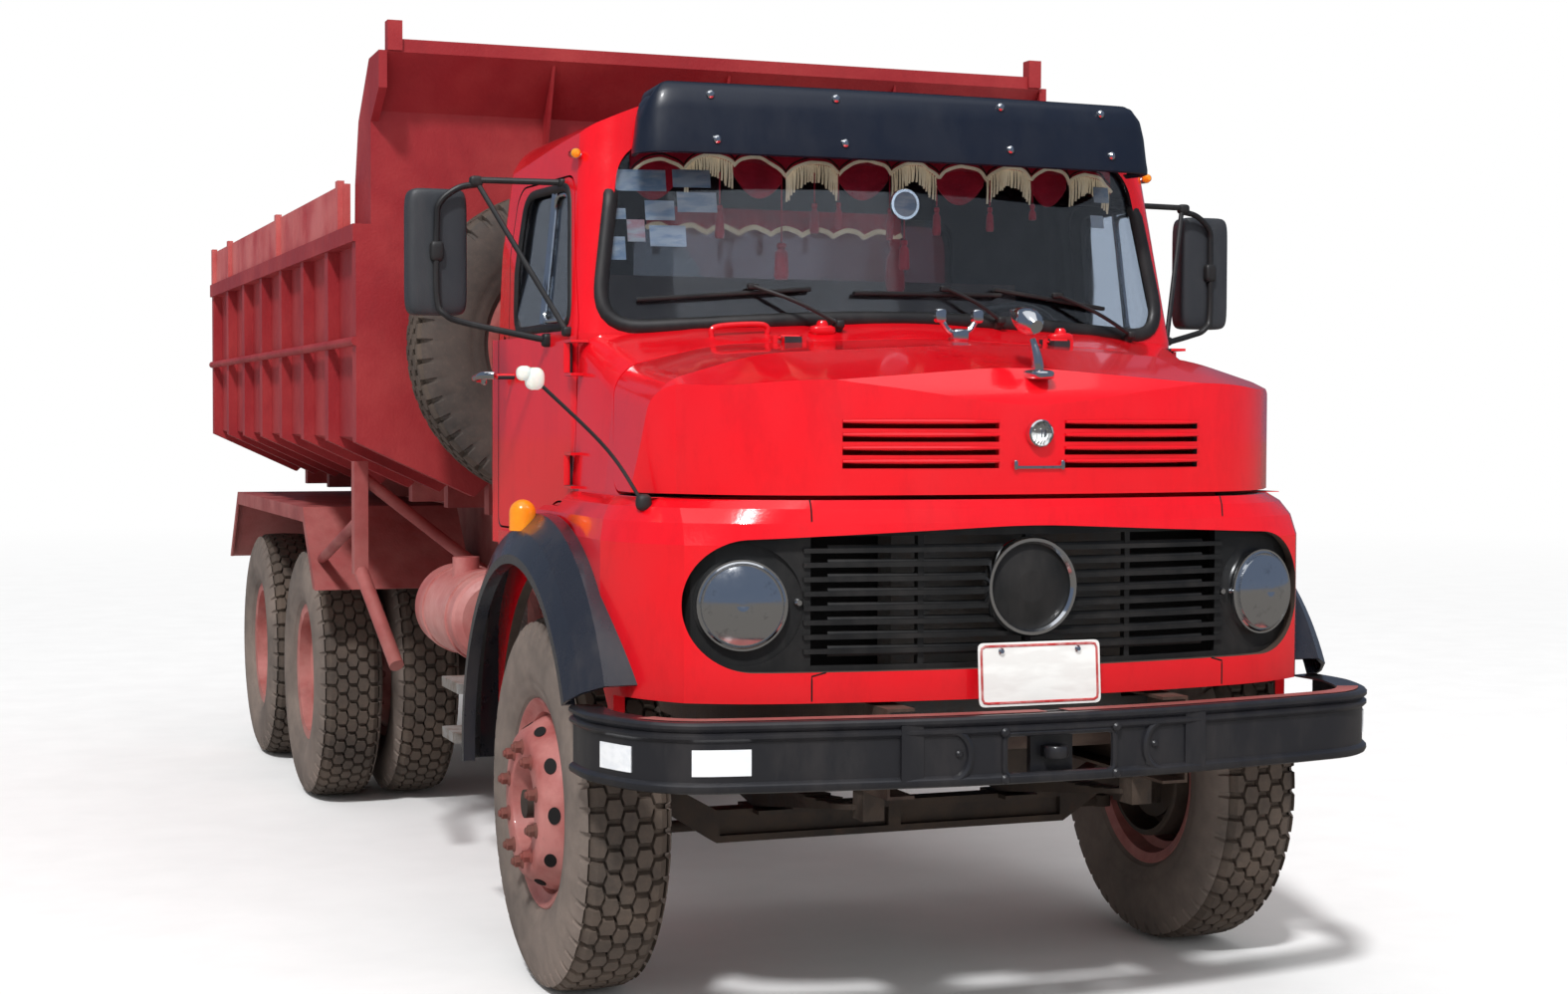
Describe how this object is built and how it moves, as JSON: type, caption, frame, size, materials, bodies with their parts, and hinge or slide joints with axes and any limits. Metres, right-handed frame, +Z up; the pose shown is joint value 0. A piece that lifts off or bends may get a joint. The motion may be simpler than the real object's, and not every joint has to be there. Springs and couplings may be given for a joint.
{
  "type": "bonneted dump truck",
  "caption": "Short-bonneted three-axle tipper truck with a deep sun visor, broad wheel-arch flares, a spare wheel behind the cab and a ribbed dump bed with a canopy.",
  "frame": {"origin": "on the road under the middle of the truck's length and width", "axes": "+X to the truck's left, +Y to its rear, +Z up"},
  "size_m": [2.742, 6.8, 2.94],
  "materials": {
    "cab_red": "gloss enamel",
    "bed_red": "weathered enamel",
    "wheel_red": "faded enamel",
    "chassis_paint": "dusty chassis paint",
    "axle_iron": "dusty casting",
    "tyre_rubber": "dusty rubber",
    "bumper_black": "satin enamel",
    "flare_black": "satin moulding",
    "visor_black": "gloss",
    "grille_black": "matt",
    "lamp_lens": "ribbed",
    "lamp_amber": "clear-coloured",
    "window_glass": "clear",
    "seat_vinyl": "grained",
    "dash_black": "matt",
    "mirror_black": "matt",
    "radiator_metal": "matt",
    "hoist_steel": "ground"
  },
  "bodies": {
    "root": {"frame_rail_right": "chassis_paint", "frame_rail_left": "chassis_paint", "cross_members": "chassis_paint", "subframe": "chassis_paint", "front_axle": "axle_iron", "rear_axles": "axle_iron", "leaf_springs": "axle_iron", "driveline": "axle_iron", "radiator": "radiator_metal", "bumper": "bumper_black", "fuel_tank": "wheel_red", "battery_box": "chassis_paint", "cab_steps": "chassis_paint", "cab_shell": "cab_red", "cab_glass": "window_glass", "visor": "visor_black", "bench_seat": "seat_vinyl", "dashboard": "dash_black", "front_panel": "cab_red", "arch_flares": "flare_black", "grille": "grille_black", "headlamps": "lamp_lens", "marker_lamps": "lamp_amber", "mudguards": "bed_red", "side_guards": "bed_red", "spare_tyre": "tyre_rubber", "spare_rim": "wheel_red", "spare_carrier": "chassis_paint"},
    "knuckle_right": {"knuckle_right": "axle_iron"},
    "knuckle_left": {"knuckle_left": "axle_iron"},
    "tie_rod": {"tie_rod": "axle_iron"},
    "wheel_front_right": {"tyre_front_right": "tyre_rubber", "rim_front_right": "wheel_red"},
    "wheel_front_left": {"tyre_front_left": "tyre_rubber", "rim_front_left": "wheel_red"},
    "steering_wheel": {"steering_wheel": "dash_black"},
    "door_right": {"door_right": "cab_red", "door_glass_right": "window_glass", "mirror_right": "mirror_black"},
    "door_left": {"door_left": "cab_red", "door_glass_left": "window_glass", "mirror_left": "mirror_black"},
    "hood": {"hood": "cab_red"},
    "bed": {"bed_shell": "bed_red", "bed_sills": "bed_red", "bed_ribs": "bed_red", "bed_canopy": "bed_red", "side_boards": "bed_red", "gate_hinges": "bed_red"},
    "tailgate": {"tailgate": "bed_red"},
    "hoist_barrel": {"hoist_barrel": "chassis_paint"},
    "hoist_rod": {"hoist_rod": "hoist_steel"},
    "wheel_rear_right_1": {"tyres_rear_right_1": "tyre_rubber", "rims_rear_right_1": "wheel_red"},
    "wheel_rear_right_2": {"tyres_rear_right_2": "tyre_rubber", "rims_rear_right_2": "wheel_red"},
    "wheel_rear_left_1": {"tyres_rear_left_1": "tyre_rubber", "rims_rear_left_1": "wheel_red"},
    "wheel_rear_left_2": {"tyres_rear_left_2": "tyre_rubber", "rims_rear_left_2": "wheel_red"}
  },
  "joints": [
    {"name": "steer_right", "type": "hinge", "parent": "root", "child": "knuckle_right", "pos_m": [-0.82, -2.3, 0.525], "axis": [0, 0, 1], "range_deg": [-32, 32]},
    {"name": "steer_left", "type": "hinge", "parent": "root", "child": "knuckle_left", "pos_m": [0.82, -2.3, 0.525], "axis": [0, 0, 1], "range_deg": [-32, 32]},
    {"name": "tie_rod_swing", "type": "hinge", "parent": "knuckle_right", "child": "tie_rod", "pos_m": [-0.82, -2.1, 0.397], "axis": [0, 0, 1], "range_deg": [-32, 32]},
    {"name": "spin_front_right", "type": "hinge", "parent": "knuckle_right", "child": "wheel_front_right", "pos_m": [-0.965, -2.3, 0.525], "axis": [1, 0, 0], "continuous": true},
    {"name": "spin_front_left", "type": "hinge", "parent": "knuckle_left", "child": "wheel_front_left", "pos_m": [0.965, -2.3, 0.525], "axis": [1, 0, 0], "continuous": true},
    {"name": "steering_wheel_turn", "type": "hinge", "parent": "root", "child": "steering_wheel", "pos_m": [0.43, -2.09, 1.8], "axis": [0, 0.7071, 0.7071], "range_deg": [-545, 545]},
    {"name": "spin_rear_right_1", "type": "hinge", "parent": "root", "child": "wheel_rear_right_1", "pos_m": [-0.89, 1.3, 0.525], "axis": [1, 0, 0], "continuous": true},
    {"name": "spin_rear_right_2", "type": "hinge", "parent": "root", "child": "wheel_rear_right_2", "pos_m": [-0.89, 2.62, 0.525], "axis": [1, 0, 0], "continuous": true},
    {"name": "spin_rear_left_1", "type": "hinge", "parent": "root", "child": "wheel_rear_left_1", "pos_m": [0.89, 1.3, 0.525], "axis": [1, 0, 0], "continuous": true},
    {"name": "spin_rear_left_2", "type": "hinge", "parent": "root", "child": "wheel_rear_left_2", "pos_m": [0.89, 2.62, 0.525], "axis": [1, 0, 0], "continuous": true},
    {"name": "door_right_swing", "type": "hinge", "parent": "root", "child": "door_right", "pos_m": [-0.979, -2.248, 1.6], "axis": [0, 0, 1], "range_deg": [0, 70]},
    {"name": "door_left_swing", "type": "hinge", "parent": "root", "child": "door_left", "pos_m": [0.979, -2.248, 1.6], "axis": [0, 0, -1], "range_deg": [0, 70]},
    {"name": "hood_lift", "type": "hinge", "parent": "root", "child": "hood", "pos_m": [0, -2.55, 1.836], "axis": [-1, 0, 0], "range_deg": [0, 45]},
    {"name": "bed_tip", "type": "hinge", "parent": "root", "child": "bed", "pos_m": [0, 2.85, 1.03], "axis": [-1, 0, 0], "range_deg": [0, 50]},
    {"name": "gate_swing", "type": "hinge", "parent": "bed", "child": "tailgate", "pos_m": [0, 3.365, 2.315], "axis": [1, 0, 0], "range_deg": [0, 75]},
    {"name": "hoist_swing", "type": "hinge", "parent": "root", "child": "hoist_barrel", "pos_m": [0, 1.96, 0.985], "axis": [-1, 0, 0], "range_deg": [0, 65]},
    {"name": "hoist_extend", "type": "slide", "parent": "hoist_barrel", "child": "hoist_rod", "axis": [0, -0.9965, 0.0839], "range_m": [0, 0.4902]}
  ],
  "couplings": [
    {"joint": "steer_left", "follows": "steer_right", "ratio": 1},
    {"joint": "tie_rod_swing", "follows": "steer_right", "ratio": -1},
    {"joint": "steering_wheel_turn", "follows": "steer_right", "ratio": 17},
    {"joint": "hoist_swing", "follows": "bed_tip", "ratio": 1.299},
    {"joint": "hoist_extend", "follows": "bed_tip", "m_per_rad": 0.5617}
  ]
}
